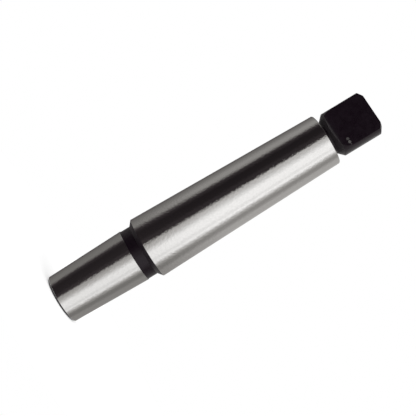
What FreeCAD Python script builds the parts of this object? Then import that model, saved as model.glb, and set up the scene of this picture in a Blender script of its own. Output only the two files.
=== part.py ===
import FreeCAD, Part
import math
import os

# Drill chuck arbor, turned and ground from one bar of steel. The chuck sits on the short taper at
# its foot, and the long taper above goes into the drilling machine's spindle. Sizes are in
# millimetres. The origin is the middle of the chuck end's face, and +Z runs up to the tang.

# Chuck taper: the inch series' No. 3 drill chuck taper. A taper's rate is the length over which
# its diameter changes by one.
CHUCK_TAPER_SMALL_DIAMETER = 18.951
CHUCK_TAPER_RATE = 18.786
CHUCK_TAPER_LENGTH = 31.9
CHUCK_END_CHAMFER = 0.7

# Plain band behind the chuck taper, and the steep cone from it up to the spindle taper
BAND_DIAMETER = 20.2
BAND_LENGTH = 3.9
SHOULDER_LENGTH = 1.6

# Spindle taper: No. 3 machine taper, with its gauge plane a short way in from the large end
SPINDLE_GAUGE_DIAMETER = 23.825
SPINDLE_GAUGE_OFFSET = 5.0
SPINDLE_TAPER_LENGTH = 77.4
SPINDLE_TAPER_RATE = 19.922
SPINDLE_EDGE_BREAK = 0.3

# Neck groove, and the tang with its two milled flats
NECK_DIAMETER = 13.4
NECK_LENGTH = 1.1
NECK_FLARE_ANGLE = 45.0
TANG_DIAMETER = 17.8
TANG_LENGTH = 18.7
TANG_THICKNESS = 7.9
TANG_FLAT_LENGTH = 11.4
MILLING_CUTTER_RADIUS = 7.0
TANG_END_CHAMFER_WIDTH = 1.8
TANG_END_CHAMFER_LENGTH = 1.3

# Centre holes for turning and grinding between centres
CENTRE_CONE_ANGLE = 60.0
CENTRE_DRILL_TIP_ANGLE = 118.0
CHUCK_CENTRE_MOUTH = 5.3
CHUCK_CENTRE_PILOT = 2.5
CHUCK_CENTRE_PILOT_LENGTH = 2.6
TANG_CENTRE_MOUTH = 4.25
TANG_CENTRE_PILOT = 2.0
TANG_CENTRE_PILOT_LENGTH = 2.0

# Hardness test dents beside the front flat: how far each lies from the axis and from the tang's
# end, and its diameter
DENT_CONE_ANGLE = 120.0
DENTS = (
    (5.1, 13.5, 1.1),
    (6.45, 13.5, 1.1),
    (7.4, 13.4, 0.5),
)

# How far a cutting tool's solid stands clear of the metal that it removes
TOOL_CLEARANCE = 1.0

UP = FreeCAD.Vector(0, 0, 1)
FRONT = FreeCAD.Vector(0, -1, 0)
AXIS_POINT = FreeCAD.Vector(0, 0, 0)

shoulder_start = CHUCK_TAPER_LENGTH + BAND_LENGTH
spindle_start = shoulder_start + SHOULDER_LENGTH
spindle_end = spindle_start + SPINDLE_TAPER_LENGTH
neck_end = spindle_end + NECK_LENGTH
tang_end = neck_end + TANG_LENGTH


def half_angle_tangent(full_angle):
    return math.tan(math.radians(full_angle / 2))


def chuck_radius(height):
    """Radius of the chuck taper at a height above the origin."""
    return (CHUCK_TAPER_SMALL_DIAMETER + height / CHUCK_TAPER_RATE) / 2


def spindle_radius(height):
    """Radius of the spindle taper at a height above the origin."""
    gauge_height = spindle_start + SPINDLE_GAUGE_OFFSET
    return (SPINDLE_GAUGE_DIAMETER - (height - gauge_height) / SPINDLE_TAPER_RATE) / 2


def turned(profile):
    """Solid turned about the axis from (radius, height) corners."""
    corners = [FreeCAD.Vector(radius, 0, height) for radius, height in profile]
    outline = Part.makePolygon(corners + corners[:1])
    return Part.Face(outline).revolve(AXIS_POINT, UP, 360)


def blank():
    """The arbor as it leaves the lathe and the grinder, before milling and centring."""
    band = BAND_DIAMETER / 2
    neck = NECK_DIAMETER / 2
    tang = TANG_DIAMETER / 2
    flare_length = (tang - neck) / math.tan(math.radians(NECK_FLARE_ANGLE))
    edge_start = spindle_end - SPINDLE_EDGE_BREAK
    return turned([
        (0, 0),
        (chuck_radius(CHUCK_END_CHAMFER) - CHUCK_END_CHAMFER, 0),
        (chuck_radius(CHUCK_END_CHAMFER), CHUCK_END_CHAMFER),
        (chuck_radius(CHUCK_TAPER_LENGTH), CHUCK_TAPER_LENGTH),
        (band, CHUCK_TAPER_LENGTH),
        (band, shoulder_start),
        (spindle_radius(spindle_start), spindle_start),
        (spindle_radius(edge_start), edge_start),
        (spindle_radius(spindle_end) - SPINDLE_EDGE_BREAK, spindle_end),
        (neck, spindle_end),
        (neck, neck_end),
        (tang, neck_end + flare_length),
        (tang, tang_end - TANG_END_CHAMFER_LENGTH),
        (tang - TANG_END_CHAMFER_WIDTH, tang_end),
        (0, tang_end),
    ])


def tang_cutter():
    """Sweep of the milling cutter along the back flat, ending in its own round run-out."""
    flat = TANG_THICKNESS / 2
    flat_start = tang_end - TANG_FLAT_LENGTH
    runout_end = flat_start - MILLING_CUTTER_RADIUS
    outside = flat + MILLING_CUTTER_RADIUS + TANG_DIAMETER
    sweep_top = tang_end + TOOL_CLEARANCE
    half_width = TANG_DIAMETER / 2 + TOOL_CLEARANCE

    def corner(depth, height):
        return FreeCAD.Vector(-half_width, depth, height)

    eighth = MILLING_CUTTER_RADIUS * math.sin(math.radians(45))
    cutter_axis = flat + MILLING_CUTTER_RADIUS
    runout = Part.Arc(
        corner(flat, flat_start),
        corner(cutter_axis - eighth, flat_start - eighth),
        corner(cutter_axis, runout_end),
    ).toShape()
    straight = Part.makePolygon([
        corner(cutter_axis, runout_end),
        corner(outside, runout_end),
        corner(outside, sweep_top),
        corner(flat, sweep_top),
        corner(flat, flat_start),
    ])
    section = Part.Face(Part.Wire([runout] + straight.Edges))
    return section.extrude(FreeCAD.Vector(2 * half_width, 0, 0))


def centre_hole(mouth_diameter, pilot_diameter, pilot_length):
    """Centre drill's shape, with its mouth at the origin and its tip below."""
    mouth = mouth_diameter / 2
    pilot = pilot_diameter / 2
    slope = half_angle_tangent(CENTRE_CONE_ANGLE)
    cone_depth = (mouth - pilot) / slope
    tip_start = cone_depth + pilot_length
    tip_depth = tip_start + pilot / half_angle_tangent(CENTRE_DRILL_TIP_ANGLE)
    return turned([
        (0, TOOL_CLEARANCE),
        (mouth + slope * TOOL_CLEARANCE, TOOL_CLEARANCE),
        (pilot, -cone_depth),
        (pilot, -tip_start),
        (0, -tip_depth),
    ])


def dent(across, from_end, diameter):
    """Cone that a hardness tester presses square into the front flat or its run-out."""
    past_flat = max(0.0, from_end - TANG_FLAT_LENGTH)
    lean = math.asin(past_flat / MILLING_CUTTER_RADIUS)
    pressed_in = FreeCAD.Vector(0, math.cos(lean), -math.sin(lean))
    cutter_axis = FreeCAD.Vector(
        across, -TANG_THICKNESS / 2 - MILLING_CUTTER_RADIUS, tang_end - from_end + past_flat)
    slope = half_angle_tangent(DENT_CONE_ANGLE)
    depth = diameter / 2 / slope
    height = depth + TOOL_CLEARANCE
    tip = cutter_axis + pressed_in * (MILLING_CUTTER_RADIUS + depth)
    return Part.makeCone(0, height * slope, height, tip, -pressed_in)


def arbor():
    back_cutter = tang_cutter()
    front_cutter = back_cutter.mirror(AXIS_POINT, FRONT)
    chuck_centre = centre_hole(CHUCK_CENTRE_MOUTH, CHUCK_CENTRE_PILOT, CHUCK_CENTRE_PILOT_LENGTH)
    chuck_centre = chuck_centre.mirror(AXIS_POINT, UP)
    tang_centre = centre_hole(TANG_CENTRE_MOUTH, TANG_CENTRE_PILOT, TANG_CENTRE_PILOT_LENGTH)
    tang_centre.translate(UP * tang_end)
    cuts = [back_cutter, front_cutter, chuck_centre, tang_centre]
    cuts += [dent(across, from_end, diameter) for across, from_end, diameter in DENTS]
    return blank().cut(cuts).Solids[0]


os.makedirs("parts", exist_ok=True)
arbor().exportStep("parts/arbor.step")
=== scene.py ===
import math

import bpy
from mathutils import Matrix, Vector


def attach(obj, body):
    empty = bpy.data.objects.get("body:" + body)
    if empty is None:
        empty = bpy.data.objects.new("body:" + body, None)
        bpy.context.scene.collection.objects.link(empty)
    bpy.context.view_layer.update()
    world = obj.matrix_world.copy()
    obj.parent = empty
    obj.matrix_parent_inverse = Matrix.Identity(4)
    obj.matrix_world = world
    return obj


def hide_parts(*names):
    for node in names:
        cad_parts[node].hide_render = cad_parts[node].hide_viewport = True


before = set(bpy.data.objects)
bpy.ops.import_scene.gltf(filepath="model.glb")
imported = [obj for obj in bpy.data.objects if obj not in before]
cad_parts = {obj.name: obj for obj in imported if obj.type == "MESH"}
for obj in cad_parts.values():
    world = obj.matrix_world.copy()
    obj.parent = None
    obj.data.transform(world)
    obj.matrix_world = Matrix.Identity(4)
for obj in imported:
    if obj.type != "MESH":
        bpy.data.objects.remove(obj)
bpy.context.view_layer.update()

# A drill chuck arbor: one turned, ground and milled bar of steel, standing on its chuck end.
# Sizes are in millimetres, as on the drawing, and become metres where they are used.
MM = 0.001

# Chuck taper, band and shoulder. A taper's rate is the length over which its diameter changes by one.
CHUCK_SMALL_RADIUS = 18.951 / 2
CHUCK_RATE = 18.786
CHUCK_LENGTH = 31.9
CHUCK_CHAMFER = 0.7
BAND_RADIUS = 20.2 / 2
BAND_LENGTH = 3.9
SHOULDER_LENGTH = 1.6

# Spindle taper
GAUGE_RADIUS = 23.825 / 2
GAUGE_OFFSET = 5.0
SPINDLE_LENGTH = 77.4
SPINDLE_RATE = 19.922
SPINDLE_EDGE = 0.3

# Neck and tang
NECK_RADIUS = 13.4 / 2
NECK_LENGTH = 1.1
TANG_RADIUS = 17.8 / 2
TANG_LENGTH = 18.7
TANG_HALF_THICKNESS = 7.9 / 2
FLAT_LENGTH = 11.4
CUTTER_RADIUS = 7.0
TANG_CHAMFER_WIDTH = 1.8
TANG_CHAMFER_LENGTH = 1.3

# Centre holes: mouth and pilot radius, pilot length
CHUCK_CENTRE = (5.3 / 2, 2.5 / 2, 2.6)
TANG_CENTRE = (4.25 / 2, 2.0 / 2, 2.0)
CONE_SLOPE = math.tan(math.radians(60 / 2))
DRILL_TIP_SLOPE = math.tan(math.radians(118 / 2))

# Test dents: distance from the axis, distance from the tang's end, diameter
DENTS = ((5.1, 13.5, 1.1), (6.45, 13.5, 1.1), (7.4, 13.4, 0.5))
DENT_SLOPE = math.tan(math.radians(120 / 2))

# How far a cutting tool's solid stands clear of the metal that it removes
CUTTER_OVERRUN = 5
DENT_TOOL_CLEARANCE = 1

# Fineness of the turned, milled and dented surfaces
TURNED_STEPS = 192
RUNOUT_STEPS = 24
DENT_STEPS = 32

# The width that turned edges are broken by, the angle from which they are, and the one from which an
# edge is shaded sharp
TURNED_EDGE = 0.1
EDGE_ANGLE = math.radians(25)
SHARP_ANGLE = math.radians(30)

# How much uncoated steel is painted on the flare as a highlight, where it lies in shade in the neck, how
# much of the black has gone from inside each dent, and how far from the middle of its mouth a dent
# reaches as a share of its diameter
FLARE_PAINTED_HIGHLIGHT = 0.07
DENT_WEAR = (0.25, 0.55, 0.25)
DENT_REACH = 0.6

# A face whose normal leans at least this far outwards is on the bar's outside, and one whose normal
# leans at least this far along the axis is an end face
OUTSIDE_LEAN = 0.5
END_FACE_LEAN = 0.9

# How quickly the tool marks change along their length, how high the satin stands beside them, and how
# much fine detail it has
MARK_DRIFT = 60
SATIN_SHARE = 1.5
SATIN_FINENESS = 1.5

# Colours of the finishes. Each mottled one runs between two.
STEEL_DARK = (0.633, 0.63, 0.623, 1)
STEEL_PALE = (0.692, 0.689, 0.682, 1)
BLACK_DARK = (0.005, 0.0014, 0.0045, 1)
BLACK_PALE = (0.008, 0.0032, 0.0075, 1)
# Uncoated steel: worn through the black inside the dents, and painted faintly on the flare as a
# highlight
BARE_METAL_AND_FLARE_HIGHLIGHT = (0.30, 0.29, 0.28, 1)

shoulder_start = CHUCK_LENGTH + BAND_LENGTH
spindle_start = shoulder_start + SHOULDER_LENGTH
spindle_end = spindle_start + SPINDLE_LENGTH
neck_end = spindle_end + NECK_LENGTH
tang_end = neck_end + TANG_LENGTH
flare_end = neck_end + TANG_RADIUS - NECK_RADIUS


def chuck_radius(height):
    return CHUCK_SMALL_RADIUS + height / CHUCK_RATE / 2


def spindle_radius(height):
    gauge_height = spindle_start + GAUGE_OFFSET
    return GAUGE_RADIUS - (height - gauge_height) / SPINDLE_RATE / 2


def flat_depth(from_end):
    """Distance of the milled surface from the axis plane, at a distance from the tang's end."""
    past_flat = max(0.0, from_end - FLAT_LENGTH)
    return TANG_HALF_THICKNESS + CUTTER_RADIUS - math.sqrt(CUTTER_RADIUS**2 - past_flat**2)


def deselect_everything():
    if bpy.context.object and bpy.context.object.mode != "OBJECT":
        bpy.ops.object.mode_set(mode="OBJECT")
    bpy.ops.object.select_all(action="DESELECT")


def make_active(piece):
    deselect_everything()
    piece.select_set(True)
    bpy.context.view_layer.objects.active = piece


def apply_modifier(piece, kind, **settings):
    """Adds a modifier, sets it and applies it."""
    make_active(piece)
    modifier = piece.modifiers.new(kind.lower(), kind)
    for name, value in settings.items():
        setattr(modifier, name, value)
    bpy.ops.object.modifier_apply(modifier=modifier.name)


def select_ring(piece, radius, height):
    """Selects the ring of points of that radius and height, and leaves the piece in edit mode."""
    make_active(piece)
    bpy.ops.object.mode_set(mode="EDIT")
    bpy.ops.mesh.select_mode(type="VERT")
    bpy.ops.mesh.select_all(action="DESELECT")
    bpy.ops.object.mode_set(mode="OBJECT")
    for point in piece.data.vertices:
        ring_radius = math.hypot(point.co.x, point.co.y)
        point.select = abs(ring_radius - radius) < 1e-6 and abs(point.co.z - height) < 1e-6
    bpy.ops.object.mode_set(mode="EDIT")


def extrude_ring(old_radius, new_radius, old_height, new_height):
    rise = new_height - old_height
    bpy.ops.mesh.extrude_region_move(TRANSFORM_OT_translate={"value": (0, 0, rise)})
    scale = new_radius / old_radius
    bpy.ops.transform.resize(value=(scale, scale, 1), center_override=(0, 0, new_height))


def close_with_tip(height_change):
    bpy.ops.mesh.extrude_region_move(TRANSFORM_OT_translate={"value": (0, 0, height_change)})
    bpy.ops.mesh.merge(type="COLLAPSE")


def turn(name, rings):
    """Turned solid: a circle extruded ring by ring, from one drilled hole round to the other."""
    rings = [(radius * MM, height * MM) for radius, height in rings]
    first_radius, first_height = rings[0]
    deselect_everything()
    bpy.ops.mesh.primitive_circle_add(
        vertices=TURNED_STEPS, radius=first_radius, location=(0, 0, first_height))
    piece = bpy.context.object
    piece.name = name
    bpy.ops.object.transform_apply(location=True, rotation=True, scale=True)
    bpy.ops.object.mode_set(mode="EDIT")
    bpy.ops.mesh.select_all(action="SELECT")
    radius, height = first_radius, first_height
    for new_radius, new_height in rings[1:]:
        extrude_ring(radius, new_radius, height, new_height)
        radius, height = new_radius, new_height
    close_with_tip(-radius / DRILL_TIP_SLOPE)
    select_ring(piece, first_radius, first_height)
    close_with_tip(first_radius / DRILL_TIP_SLOPE)
    bpy.ops.mesh.select_all(action="SELECT")
    bpy.ops.mesh.remove_doubles(threshold=1e-7)
    bpy.ops.mesh.normals_make_consistent(inside=False)
    bpy.ops.object.mode_set(mode="OBJECT")
    return piece


def turned_bar():
    chuck_mouth, chuck_pilot, chuck_pilot_length = CHUCK_CENTRE
    tang_mouth, tang_pilot, tang_pilot_length = TANG_CENTRE
    chuck_cone = (chuck_mouth - chuck_pilot) / CONE_SLOPE
    tang_cone = (tang_mouth - tang_pilot) / CONE_SLOPE
    edge_start = spindle_end - SPINDLE_EDGE
    return turn("arbor_bar", [
        (chuck_pilot, chuck_cone + chuck_pilot_length),
        (chuck_pilot, chuck_cone),
        (chuck_mouth, 0),
        (chuck_radius(CHUCK_CHAMFER) - CHUCK_CHAMFER, 0),
        (chuck_radius(CHUCK_CHAMFER), CHUCK_CHAMFER),
        (chuck_radius(CHUCK_LENGTH), CHUCK_LENGTH),
        (BAND_RADIUS, CHUCK_LENGTH),
        (BAND_RADIUS, shoulder_start),
        (spindle_radius(spindle_start), spindle_start),
        (spindle_radius(edge_start), edge_start),
        (spindle_radius(spindle_end) - SPINDLE_EDGE, spindle_end),
        (NECK_RADIUS, spindle_end),
        (NECK_RADIUS, neck_end),
        (TANG_RADIUS, flare_end),
        (TANG_RADIUS, tang_end - TANG_CHAMFER_LENGTH),
        (TANG_RADIUS - TANG_CHAMFER_WIDTH, tang_end),
        (tang_mouth, tang_end),
        (tang_pilot, tang_end - tang_cone),
        (tang_pilot, tang_end - tang_cone - tang_pilot_length),
    ])


def milling_cutters():
    """Sweeps of the cutter along both flats: a block with one long edge rounded, and its twin."""
    flat_start = tang_end - FLAT_LENGTH
    low = flat_start - CUTTER_RADIUS
    high = tang_end + CUTTER_OVERRUN
    near = TANG_HALF_THICKNESS
    far = near + CUTTER_RADIUS + TANG_RADIUS
    width = 3 * TANG_RADIUS
    deselect_everything()
    bpy.ops.mesh.primitive_cube_add(
        size=1, location=(0, (near + far) / 2 * MM, (low + high) / 2 * MM))
    block = bpy.context.object
    block.name = "milling_cutters"
    block.scale = (width * MM, (far - near) * MM, (high - low) * MM)
    bpy.ops.object.transform_apply(location=True, rotation=True, scale=True)
    bpy.ops.object.mode_set(mode="EDIT")
    bpy.ops.mesh.select_mode(type="EDGE")
    bpy.ops.mesh.select_all(action="DESELECT")
    bpy.ops.object.mode_set(mode="OBJECT")
    for edge in block.data.edges:
        ends = [block.data.vertices[index].co for index in edge.vertices]
        edge.select = all(
            abs(end.y - near * MM) < 1e-6 and abs(end.z - low * MM) < 1e-6 for end in ends)
    bpy.ops.object.mode_set(mode="EDIT")
    bpy.ops.mesh.bevel(offset=CUTTER_RADIUS * MM, segments=RUNOUT_STEPS, profile=0.5)
    bpy.ops.mesh.select_all(action="SELECT")
    bpy.ops.mesh.duplicate()
    bpy.ops.transform.rotate(value=math.pi, orient_axis="Z", center_override=(0, 0, 0))
    bpy.ops.object.mode_set(mode="OBJECT")
    return block


def dent_cones():
    """The hardness tester's cone, pressed square into the run-out of the front flat at each dent."""
    cones = []
    for across, from_end, diameter in DENTS:
        past_flat = from_end - FLAT_LENGTH
        lean = math.asin(past_flat / CUTTER_RADIUS)
        pressed_in = Vector((0, math.cos(lean), -math.sin(lean)))
        cutter_axis = Vector((across, -TANG_HALF_THICKNESS - CUTTER_RADIUS, tang_end - FLAT_LENGTH))
        depth = diameter / 2 / DENT_SLOPE
        height = depth + DENT_TOOL_CLEARANCE
        middle = cutter_axis + pressed_in * (CUTTER_RADIUS + depth - height / 2)
        deselect_everything()
        bpy.ops.mesh.primitive_cone_add(
            vertices=DENT_STEPS, radius1=height * DENT_SLOPE * MM, radius2=0, depth=height * MM,
            location=middle * MM, rotation=(-math.pi / 2 - lean, 0, 0))
        cones.append(bpy.context.object)
    deselect_everything()
    for cone in cones:
        cone.select_set(True)
    bpy.context.view_layer.objects.active = cones[0]
    bpy.ops.object.join()
    bpy.ops.object.transform_apply(location=True, rotation=True, scale=True)
    return cones[0]


def cut_away(piece, cutter):
    apply_modifier(
        piece, "BOOLEAN", operation="DIFFERENCE", solver="EXACT", object=cutter, use_self=True)
    bpy.data.objects.remove(cutter, do_unlink=True)


def paint_by_height(piece, ground, black):
    """Gives the two ground tapers their own finish, and the rest of the bar the black one."""
    piece.data.materials.clear()
    piece.data.materials.append(ground)
    piece.data.materials.append(black)
    for face in piece.data.polygons:
        height = face.center.z / MM
        outward_lean = math.hypot(face.normal.x, face.normal.y)
        distance = math.hypot(face.center.x, face.center.y) / MM
        on_chuck_taper = CHUCK_CHAMFER < height < CHUCK_LENGTH
        on_spindle_taper = spindle_start < height < spindle_end
        outer = outward_lean > OUTSIDE_LEAN and distance > NECK_RADIUS
        face.material_index = 0 if outer and (on_chuck_taper or on_spindle_taper) else 1


def mark_wear_and_flare_highlight(piece):
    """Marks where the black is worn inside the dents, and paints a faint highlight of uncoated steel on
    the flare, which lies in shade in the neck.
    """
    wear_and_flare_highlight = piece.data.attributes.new("wear_and_flare_highlight", "FLOAT", "FACE")
    for face in piece.data.polygons:
        # Painted highlight: a faint share of uncoated steel that lightens the flare where it lies in
        # shade.
        if neck_end < face.center.z / MM < flare_end:
            wear_and_flare_highlight.data[face.index].value = FLARE_PAINTED_HIGHLIGHT
    for (across, from_end, diameter), wear in zip(DENTS, DENT_WEAR):
        mouth = Vector((across, -flat_depth(from_end), tang_end - from_end))
        for face in piece.data.polygons:
            reach = max((piece.data.vertices[index].co / MM - mouth).length for index in face.vertices)
            if reach < diameter * DENT_REACH:
                wear_and_flare_highlight.data[face.index].value = wear


def node(tree, kind, **settings):
    made = tree.nodes.new(kind)
    for name, value in settings.items():
        if hasattr(made, name):
            setattr(made, name, value)
        else:
            made.inputs[name.replace("_", " ")].default_value = value
    return made


def new_material(name):
    material = bpy.data.materials.new(name)
    material.use_nodes = True
    tree = material.node_tree
    shader = tree.nodes["Principled BSDF"]
    return material, tree, shader


def tool_marks_group():
    """Fine lines that a tool leaves: round the axis on turned faces, straight across milled flats."""
    tree = bpy.data.node_groups.new("tool_marks", "ShaderNodeTree")
    spacing = tree.interface.new_socket(
        name="Lines per Metre", in_out="INPUT", socket_type="NodeSocketFloat")
    spacing.default_value = 5000
    tree.interface.new_socket(name="Height", in_out="OUTPUT", socket_type="NodeSocketFloat")
    given = node(tree, "NodeGroupInput")
    given_back = node(tree, "NodeGroupOutput")
    place = node(tree, "ShaderNodeTexCoord")
    parts = node(tree, "ShaderNodeSeparateXYZ")
    tree.links.new(place.outputs["Object"], parts.inputs["Vector"])
    sideways = node(tree, "ShaderNodeVectorMath", operation="MULTIPLY")
    sideways.inputs[1].default_value = (1, 1, 0)
    radius = node(tree, "ShaderNodeVectorMath", operation="LENGTH")
    tree.links.new(place.outputs["Object"], sideways.inputs[0])
    tree.links.new(sideways.outputs["Vector"], radius.inputs[0])
    facing = node(tree, "ShaderNodeNewGeometry")
    facing_parts = node(tree, "ShaderNodeSeparateXYZ")
    end_face = node(tree, "ShaderNodeMath", operation="ABSOLUTE")
    tree.links.new(facing.outputs["True Normal"], facing_parts.inputs["Vector"])
    tree.links.new(facing_parts.outputs["Z"], end_face.inputs[0])
    on_end_face = node(tree, "ShaderNodeMath", operation="GREATER_THAN")
    on_end_face.inputs[1].default_value = END_FACE_LEAN
    tree.links.new(end_face.outputs["Value"], on_end_face.inputs[0])
    along = node(tree, "ShaderNodeMix", data_type="FLOAT")
    tree.links.new(on_end_face.outputs["Value"], along.inputs["Factor"])
    tree.links.new(parts.outputs["Z"], along.inputs["A"])
    tree.links.new(radius.outputs["Value"], along.inputs["B"])
    lines = node(tree, "ShaderNodeMath", operation="MULTIPLY")
    tree.links.new(along.outputs["Result"], lines.inputs[0])
    tree.links.new(given.outputs["Lines per Metre"], lines.inputs[1])
    drift = node(tree, "ShaderNodeVectorMath", operation="SCALE", Scale=MARK_DRIFT)
    tree.links.new(sideways.outputs["Vector"], drift.inputs[0])
    drift_parts = node(tree, "ShaderNodeSeparateXYZ")
    tree.links.new(drift.outputs["Vector"], drift_parts.inputs["Vector"])
    stretched = node(tree, "ShaderNodeCombineXYZ")
    tree.links.new(drift_parts.outputs["X"], stretched.inputs["X"])
    tree.links.new(drift_parts.outputs["Y"], stretched.inputs["Y"])
    tree.links.new(lines.outputs["Value"], stretched.inputs["Z"])
    grain = node(tree, "ShaderNodeTexNoise", Scale=1.0, Detail=3.0, Roughness=0.6)
    tree.links.new(stretched.outputs["Vector"], grain.inputs["Vector"])
    tree.links.new(grain.outputs["Fac"], given_back.inputs["Height"])
    return tree


def mottle_group():
    """Soft uneven patches over fine ones, from 0 to 1."""
    tree = bpy.data.node_groups.new("mottle", "ShaderNodeTree")
    scale = tree.interface.new_socket(name="Scale", in_out="INPUT", socket_type="NodeSocketFloat")
    scale.default_value = 100
    fineness = tree.interface.new_socket(
        name="Fineness", in_out="INPUT", socket_type="NodeSocketFloat")
    fineness.default_value = 6
    tree.interface.new_socket(name="Tone", in_out="OUTPUT", socket_type="NodeSocketFloat")
    given = node(tree, "NodeGroupInput")
    given_back = node(tree, "NodeGroupOutput")
    place = node(tree, "ShaderNodeTexCoord")
    patches = node(tree, "ShaderNodeTexNoise", Roughness=0.62, Distortion=0.4)
    tree.links.new(place.outputs["Object"], patches.inputs["Vector"])
    tree.links.new(given.outputs["Scale"], patches.inputs["Scale"])
    tree.links.new(given.outputs["Fineness"], patches.inputs["Detail"])
    spread = node(tree, "ShaderNodeMapRange", From_Min=0.3, From_Max=0.7)
    tree.links.new(patches.outputs["Fac"], spread.inputs["Value"])
    tree.links.new(spread.outputs["Result"], given_back.inputs["Tone"])
    return tree


def blend(tree, factor, kind, start, end):
    """Mix of two colours or two numbers, driven by a mask."""
    mix = node(tree, "ShaderNodeMix", data_type=kind)
    ending = {"RGBA": "Color", "FLOAT": "Float"}[kind]
    names = (f"A_{ending}", f"B_{ending}", f"Result_{ending}")
    factor_input = next(socket for socket in mix.inputs if socket.identifier == "Factor_Float")
    tree.links.new(factor, factor_input)
    for name, value in zip(names, (start, end)):
        socket = next(socket for socket in mix.inputs if socket.identifier == name)
        if isinstance(value, bpy.types.NodeSocket):
            tree.links.new(value, socket)
        else:
            socket.default_value = value
    return next(socket for socket in mix.outputs if socket.identifier == names[2])


def add_marks(tree, shader, marks, mottle, lines_per_metre, satin_per_metre, depth):
    """Bumps a material with tool marks over a finer satin, and gives back the height of the tool marks.
    """
    lines = node(tree, "ShaderNodeGroup", node_tree=marks)
    lines.inputs["Lines per Metre"].default_value = lines_per_metre
    satin = node(tree, "ShaderNodeGroup", node_tree=mottle)
    satin.inputs["Scale"].default_value = satin_per_metre
    satin.inputs["Fineness"].default_value = SATIN_FINENESS
    both = node(tree, "ShaderNodeMath", operation="MULTIPLY_ADD")
    both.inputs[1].default_value = SATIN_SHARE
    tree.links.new(satin.outputs["Tone"], both.inputs[0])
    tree.links.new(lines.outputs["Height"], both.inputs[2])
    bump = node(tree, "ShaderNodeBump", Strength=1.0, Distance=depth)
    tree.links.new(both.outputs["Value"], bump.inputs["Height"])
    tree.links.new(bump.outputs["Normal"], shader.inputs["Normal"])
    return lines.outputs["Height"]


def ground_steel(marks, mottle):
    """Cylindrically ground steel: bright and satin, with hair-fine lines round the axis."""
    material, tree, shader = new_material("ground_steel")
    height = add_marks(
        tree, shader, marks, mottle, lines_per_metre=5000, satin_per_metre=1000, depth=0.000012)
    patches = node(tree, "ShaderNodeGroup", node_tree=mottle)
    patches.inputs["Scale"].default_value = 1500
    colour = blend(tree, patches.outputs["Tone"], "RGBA", STEEL_DARK, STEEL_PALE)
    roughness = blend(tree, height, "FLOAT", 0.06, 0.11)
    tree.links.new(colour, shader.inputs["Base Color"])
    tree.links.new(roughness, shader.inputs["Roughness"])
    shader.inputs["Metallic"].default_value = 1.0
    return material


def black_oxide(marks, mottle):
    """Blackened steel, left as it was turned and milled, and uncoated where the mesh's attribute says
    so: worn in the dents, and painted on the flare as a highlight.
    """
    material, tree, shader = new_material("black_oxide")
    add_marks(
        tree, shader, marks, mottle, lines_per_metre=3200, satin_per_metre=900, depth=0.00002)
    patches = node(tree, "ShaderNodeGroup", node_tree=mottle)
    patches.inputs["Scale"].default_value = 420
    black = blend(tree, patches.outputs["Tone"], "RGBA", BLACK_DARK, BLACK_PALE)
    dullness = blend(tree, patches.outputs["Tone"], "FLOAT", 0.25, 0.36)
    # The attribute holds the wear in the dents and the painted highlight on the flare.
    wear_and_flare_highlight = node(tree, "ShaderNodeAttribute", attribute_name="wear_and_flare_highlight")
    colour = blend(tree, wear_and_flare_highlight.outputs["Fac"], "RGBA", black, BARE_METAL_AND_FLARE_HIGHLIGHT)
    roughness = blend(tree, wear_and_flare_highlight.outputs["Fac"], "FLOAT", dullness, 0.55)
    tree.links.new(colour, shader.inputs["Base Color"])
    tree.links.new(roughness, shader.inputs["Roughness"])
    tree.links.new(wear_and_flare_highlight.outputs["Fac"], shader.inputs["Metallic"])
    shader.inputs["Specular IOR Level"].default_value = 0.24
    shader.inputs["Sheen Weight"].default_value = 0.11
    shader.inputs["Sheen Roughness"].default_value = 0.4
    return material


def arbor():
    bar = turned_bar()
    apply_modifier(
        bar, "BEVEL", width=TURNED_EDGE * MM, segments=2, limit_method="ANGLE", angle_limit=EDGE_ANGLE)
    cut_away(bar, milling_cutters())
    cut_away(bar, dent_cones())
    marks = tool_marks_group()
    mottle = mottle_group()
    paint_by_height(bar, ground_steel(marks, mottle), black_oxide(marks, mottle))
    mark_wear_and_flare_highlight(bar)
    make_active(bar)
    bpy.ops.object.shade_smooth_by_angle(angle=SHARP_ANGLE)
    apply_modifier(bar, "WEIGHTED_NORMAL", keep_sharp=True)
    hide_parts("arbor")
    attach(bar, "root")


# The studio, in metres and degrees
CAMERA_AZIMUTH = 14.0
CAMERA_DISTANCE = 0.357
CAMERA_FOV = 24.4
CAMERA_AIM = (-0.0009, 0.0643)
AXIS_TILT_IN_PICTURE = 31.2
FLOOR_RADIUS = 0.09
FLOOR_STEPS = 128
FLOOR_COLOUR = (0.85, 0.85, 0.85, 1)
FLOOR_GLOW = 0.42
SOFT_LIGHT = 0.75
SOFTBOX_NORMAL = 20
SOFTBOX_DISTANCE = 0.6
SOFTBOX_SIZE = (0.5, 1.2)
SOFTBOX_BRIGHTNESS = 1.2
ROOM_RADIUS = 0.5
ROOM_HEIGHT = 0.9
ROOM_STEP = 0.5
TABLE_LIFT = 0.0002
TABLE_BRIGHTNESS = 0.87
TABLE_SIDE_BRIGHTNESS = 0.6
TABLE_FALL = (25, 53)
TABLE_STRAY_LIGHT = 0.009
CURTAIN_SPREAD = 3.5
CURTAIN_MIDDLE = -20
WALL_BRIGHT_FROM = 0.08
CEILING_BRIGHTNESS = 0.05

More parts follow.
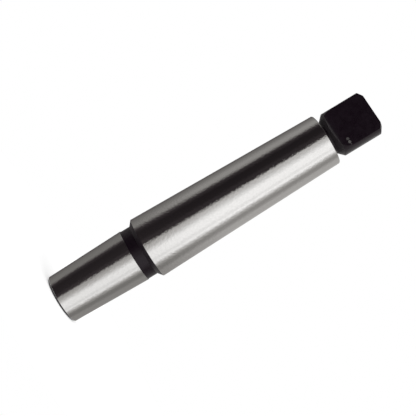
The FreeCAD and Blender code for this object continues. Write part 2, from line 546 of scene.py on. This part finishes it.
# The room that the arbor mirrors, from left to right. A wall runs between two angles and from one
# brightness to another. The angles are counted from the camera's side to the surface that shows the
# wall. Light fades between walls.
BEHIND_ON_LEFT = (-90, -85, 0.3, 0.13)
LEFT_BACK_WALL = (-81, -62, 0.105, 0.255)
LEFT_GREY_WALL = (-51, -44.3, 0.385, 0.36)
CURTAIN_LEFT_FOLD = (-37.9, -35.2, 0.054, 0.038)
DARK_CURTAIN = (-30, -18, 0.018, 0.021)
CURTAIN_RIGHT_FOLD = (-12.9, -7.6, 0.04, 0.036)
PALE_WALL = (-6, -4.3, 0.36, 0.67)
WALL_BESIDE_LAMP = (-1, 3, 0.685, 0.86)
WIDE_LAMP = (11, 21, 1.29, 1.29)
GAP_BETWEEN_LAMPS = (24, 26.5, 1.13, 1.13)
NARROW_LAMP = (29, 30.5, 1.32, 1.32)
SHADED_CORNER = (36.5, 42.5, 0.62, 0.35)
RIGHT_GREY_WALL = (48, 56, 0.355, 0.535)
RIGHT_BACK_WALL = (70, 82, 0.51, 0.54)
BEHIND_ON_RIGHT = (86, 90, 0.46, 0.3)
GREY_WALL_BRIGHTNESS = 0.2
CURTAIN_TINT = (1.0, 0.80, 0.88, 1)
GREY_WALL_TINT = (1.0, 0.96, 0.92, 1)
LAMP_TINT = (1.0, 0.99, 0.985, 1)
CURTAIN_SIDE = (LEFT_GREY_WALL, CURTAIN_LEFT_FOLD, DARK_CURTAIN)
LAMPS = (WIDE_LAMP, GAP_BETWEEN_LAMPS, NARROW_LAMP, SHADED_CORNER)
RIGHT_SIDE = (RIGHT_GREY_WALL, RIGHT_BACK_WALL, BEHIND_ON_RIGHT)
ROOM = (BEHIND_ON_LEFT, LEFT_BACK_WALL, *CURTAIN_SIDE, CURTAIN_RIGHT_FOLD, PALE_WALL, WALL_BESIDE_LAMP,
        *LAMPS, *RIGHT_SIDE)

# The same room as the table passes it on. The pale wall begins sooner there and is dimmer, and the lamps
# lie a little to the left.
BACK_WALL_ON_TABLE = (-81, -62, 0.13, 0.32)
FOLD_ON_TABLE = (-12.9, -8.8, 0.045, 0.05)
PALE_ON_TABLE = (-6.6, -4.3, 0.49, 0.52)
BESIDE_LAMP_ON_TABLE = (-1, 3, 0.61, 0.78)
LAMP_SHIFT = 1
LAMPS_ON_TABLE = [
    (start - LAMP_SHIFT, end - LAMP_SHIFT, first, last) for start, end, first, last in LAMPS]
TABLE = (BEHIND_ON_LEFT, BACK_WALL_ON_TABLE, *CURTAIN_SIDE, FOLD_ON_TABLE, PALE_ON_TABLE,
         BESIDE_LAMP_ON_TABLE, *LAMPS_ON_TABLE, *RIGHT_SIDE)


def camera_directions():
    """Unit vectors to the right of the upright camera, and from the arbor towards it."""
    turn_angle = math.radians(CAMERA_AZIMUTH)
    right = Vector((math.cos(turn_angle), math.sin(turn_angle), 0))
    back = Vector((math.sin(turn_angle), -math.cos(turn_angle), 0))
    return right, back


def add_camera():
    """Looks square at the axis, rolled so that the arbor climbs to the right as in the photograph."""
    right, back = camera_directions()
    across, height = CAMERA_AIM
    roll = math.radians(AXIS_TILT_IN_PICTURE)
    up = Vector((0, 0, 1))
    picture_right = math.cos(roll) * up + math.sin(roll) * right
    picture_up = math.sin(roll) * up - math.cos(roll) * right
    camera = bpy.data.cameras.new("camera")
    camera.sensor_width = 36
    camera.lens = camera.sensor_width / 2 / math.tan(math.radians(CAMERA_FOV / 2))
    camera.clip_start = 0.01
    camera.clip_end = 20
    holder = bpy.data.objects.new("camera", camera)
    bpy.context.collection.objects.link(holder)
    turned_axes = Matrix((picture_right, picture_up, back)).transposed().to_4x4()
    aim = right * across + up * height
    holder.matrix_world = Matrix.Translation(aim + back * CAMERA_DISTANCE) @ turned_axes
    bpy.context.scene.camera = holder


def reflected_line(normal_angle, distance):
    """Where the surface at that angle from the camera's side lies, and what it mirrors far off."""
    right, back = camera_directions()
    angle = math.radians(normal_angle)
    surface = (right * math.sin(angle) + back * math.cos(angle)) * BAND_RADIUS * MM
    far = surface + (right * math.sin(2 * angle) + back * math.cos(2 * angle)) * distance
    return surface, far


def hide_from_all_but_gloss(piece):
    piece.visible_camera = False
    piece.visible_diffuse = False
    piece.visible_shadow = False
    piece.visible_transmission = False


def glowing_material(name):
    """Glow as bright at each point as the mesh's own attribute says, and warmer where it is dim."""
    material = bpy.data.materials.new(name)
    material.use_nodes = True
    tree = material.node_tree
    tree.nodes.clear()
    brightness = node(tree, "ShaderNodeAttribute", attribute_name="brightness")
    tint = node(tree, "ShaderNodeValToRGB")
    tint.color_ramp.elements[0].color = CURTAIN_TINT
    tint.color_ramp.elements[1].color = LAMP_TINT
    tint.color_ramp.elements.new(GREY_WALL_BRIGHTNESS).color = GREY_WALL_TINT
    tree.links.new(brightness.outputs["Fac"], tint.inputs["Fac"])
    glow = node(tree, "ShaderNodeEmission")
    output = node(tree, "ShaderNodeOutputMaterial")
    tree.links.new(tint.outputs["Color"], glow.inputs["Color"])
    tree.links.new(brightness.outputs["Fac"], glow.inputs["Strength"])
    tree.links.new(glow.outputs["Emission"], output.inputs["Surface"])
    return material


def brightness_at(walls, angle):
    """How bright the walls are at an angle: along one, or between one's end and the next one's start."""
    stations = []
    for start, end, start_brightness, end_brightness in walls:
        stations += [(start, start_brightness), (end, end_brightness)]
    for (left, left_brightness), (right, right_brightness) in zip(stations, stations[1:]):
        if angle <= right:
            share = (angle - left) / (right - left)
            return left_brightness + share * (right_brightness - left_brightness)


def table_share(angle):
    """How much of the room's light the table passes on, which is less towards its sides."""
    start, end = TABLE_FALL
    sideways = min(1, max(0, (abs(angle) - start) / (end - start)))
    return TABLE_BRIGHTNESS + sideways * (TABLE_SIDE_BRIGHTNESS - TABLE_BRIGHTNESS)


def add_room():
    """Walls of the room all round, and the table that leads up to them, for the reflections only.

    The sheet has four rows of points: at the arbor's foot, at the walls' foot, a little up the walls,
    and at their top. The first two are the table's, where the curtain spreads a little to the left.
    The sheet's two sides meet behind the arbor.
    """
    steps = round(180 / ROOM_STEP)
    row_heights = (TABLE_LIFT, TABLE_LIFT, WALL_BRIGHT_FROM, ROOM_HEIGHT)
    deselect_everything()
    bpy.ops.mesh.primitive_grid_add(
        x_subdivisions=steps, y_subdivisions=len(row_heights) - 1, size=1, location=(0, 0, 0))
    room = bpy.context.object
    room.name = "room"
    glow = room.data.attributes.new("brightness", "FLOAT", "POINT")
    for index, point in enumerate(room.data.vertices):
        row, column = divmod(index, steps + 1)
        angle = column * ROOM_STEP - 90
        surface, far = reflected_line(angle, ROOM_RADIUS)
        if abs(angle) == 90:
            far -= surface
            surface = Vector((0, 0, 0))
        point.co = surface if row == 0 else far
        point.co.z = row_heights[row]
        if row < 2:
            spread = CURTAIN_SPREAD if angle < CURTAIN_MIDDLE else 0
            passed_on = brightness_at(TABLE, angle + spread) * table_share(angle)
            glow.data[index].value = passed_on + TABLE_STRAY_LIGHT
        else:
            glow.data[index].value = brightness_at(ROOM, angle)
    room.data.materials.append(glowing_material("room_walls"))
    hide_from_all_but_gloss(room)


def add_ceiling():
    """Dark sheet over everything, which the faces that lean upwards mirror."""
    deselect_everything()
    bpy.ops.mesh.primitive_plane_add(size=3 * ROOM_RADIUS, location=(0, 0, ROOM_HEIGHT))
    ceiling = bpy.context.object
    ceiling.name = "ceiling"
    glow = ceiling.data.attributes.new("brightness", "FLOAT", "POINT")
    for point in glow.data:
        point.value = CEILING_BRIGHTNESS
    ceiling.data.materials.append(glowing_material("ceiling"))
    hide_from_all_but_gloss(ceiling)


def add_softbox():
    """Tall soft lamp to the right of the camera. The room's walls stand for it in the reflections."""
    middle = reflected_line(SOFTBOX_NORMAL, SOFTBOX_DISTANCE)[1]
    lamp = bpy.data.lights.new("softbox", "AREA")
    lamp.shape = "RECTANGLE"
    lamp.size, lamp.size_y = SOFTBOX_SIZE
    lamp.energy = SOFTBOX_BRIGHTNESS * math.pi * lamp.size * lamp.size_y
    holder = bpy.data.objects.new("softbox", lamp)
    bpy.context.collection.objects.link(holder)
    holder.rotation_euler = middle.to_track_quat("Z", "Y").to_euler()
    holder.location = middle + Vector((0, 0, lamp.size_y / 2))
    holder.visible_camera = False
    holder.visible_glossy = False


def add_world():
    """White where the camera or a reflection sees it, and a plain soft light elsewhere."""
    world = bpy.data.worlds.new("studio")
    bpy.context.scene.world = world
    world.use_nodes = True
    tree = world.node_tree
    background = tree.nodes["Background"]
    background.inputs["Color"].default_value = (1, 1, 1, 1)
    path = node(tree, "ShaderNodeLightPath")
    seen = node(tree, "ShaderNodeMath", operation="MAXIMUM")
    tree.links.new(path.outputs["Is Camera Ray"], seen.inputs[0])
    tree.links.new(path.outputs["Is Glossy Ray"], seen.inputs[1])
    seen_through = node(tree, "ShaderNodeMath", operation="MAXIMUM")
    tree.links.new(seen.outputs["Value"], seen_through.inputs[0])
    tree.links.new(path.outputs["Is Transmission Ray"], seen_through.inputs[1])
    strength = node(tree, "ShaderNodeMapRange", To_Min=SOFT_LIGHT, To_Max=1.0)
    tree.links.new(seen_through.outputs["Value"], strength.inputs["Value"])
    tree.links.new(strength.outputs["Result"], background.inputs["Strength"])


def add_floor():
    """Round pale table top. Its own faint light keeps it white, and the arbor's shadow shows on it."""
    deselect_everything()
    bpy.ops.mesh.primitive_circle_add(
        vertices=FLOOR_STEPS, radius=FLOOR_RADIUS, fill_type="NGON", location=(0, 0, 0))
    floor = bpy.context.object
    floor.name = "floor"
    material = bpy.data.materials.new("pale_table")
    material.use_nodes = True
    tree = material.node_tree
    tree.nodes.clear()
    matt = node(tree, "ShaderNodeBsdfDiffuse", Color=FLOOR_COLOUR)
    glow = node(tree, "ShaderNodeEmission", Color=(1, 1, 1, 1))
    path = node(tree, "ShaderNodeLightPath")
    seen = node(tree, "ShaderNodeMath", operation="MAXIMUM")
    tree.links.new(path.outputs["Is Camera Ray"], seen.inputs[0])
    tree.links.new(path.outputs["Is Glossy Ray"], seen.inputs[1])
    strength = node(tree, "ShaderNodeMath", operation="MULTIPLY")
    strength.inputs[1].default_value = FLOOR_GLOW
    tree.links.new(seen.outputs["Value"], strength.inputs[0])
    tree.links.new(strength.outputs["Value"], glow.inputs["Strength"])
    both = node(tree, "ShaderNodeAddShader")
    tree.links.new(matt.outputs["BSDF"], both.inputs[0])
    tree.links.new(glow.outputs["Emission"], both.inputs[1])
    output = node(tree, "ShaderNodeOutputMaterial")
    tree.links.new(both.outputs["Shader"], output.inputs["Surface"])
    floor.data.materials.append(material)


def studio():
    bpy.context.scene.view_settings.view_transform = "Standard"
    add_world()
    add_floor()
    add_room()
    add_ceiling()
    add_softbox()
    add_camera()


arbor()
studio()
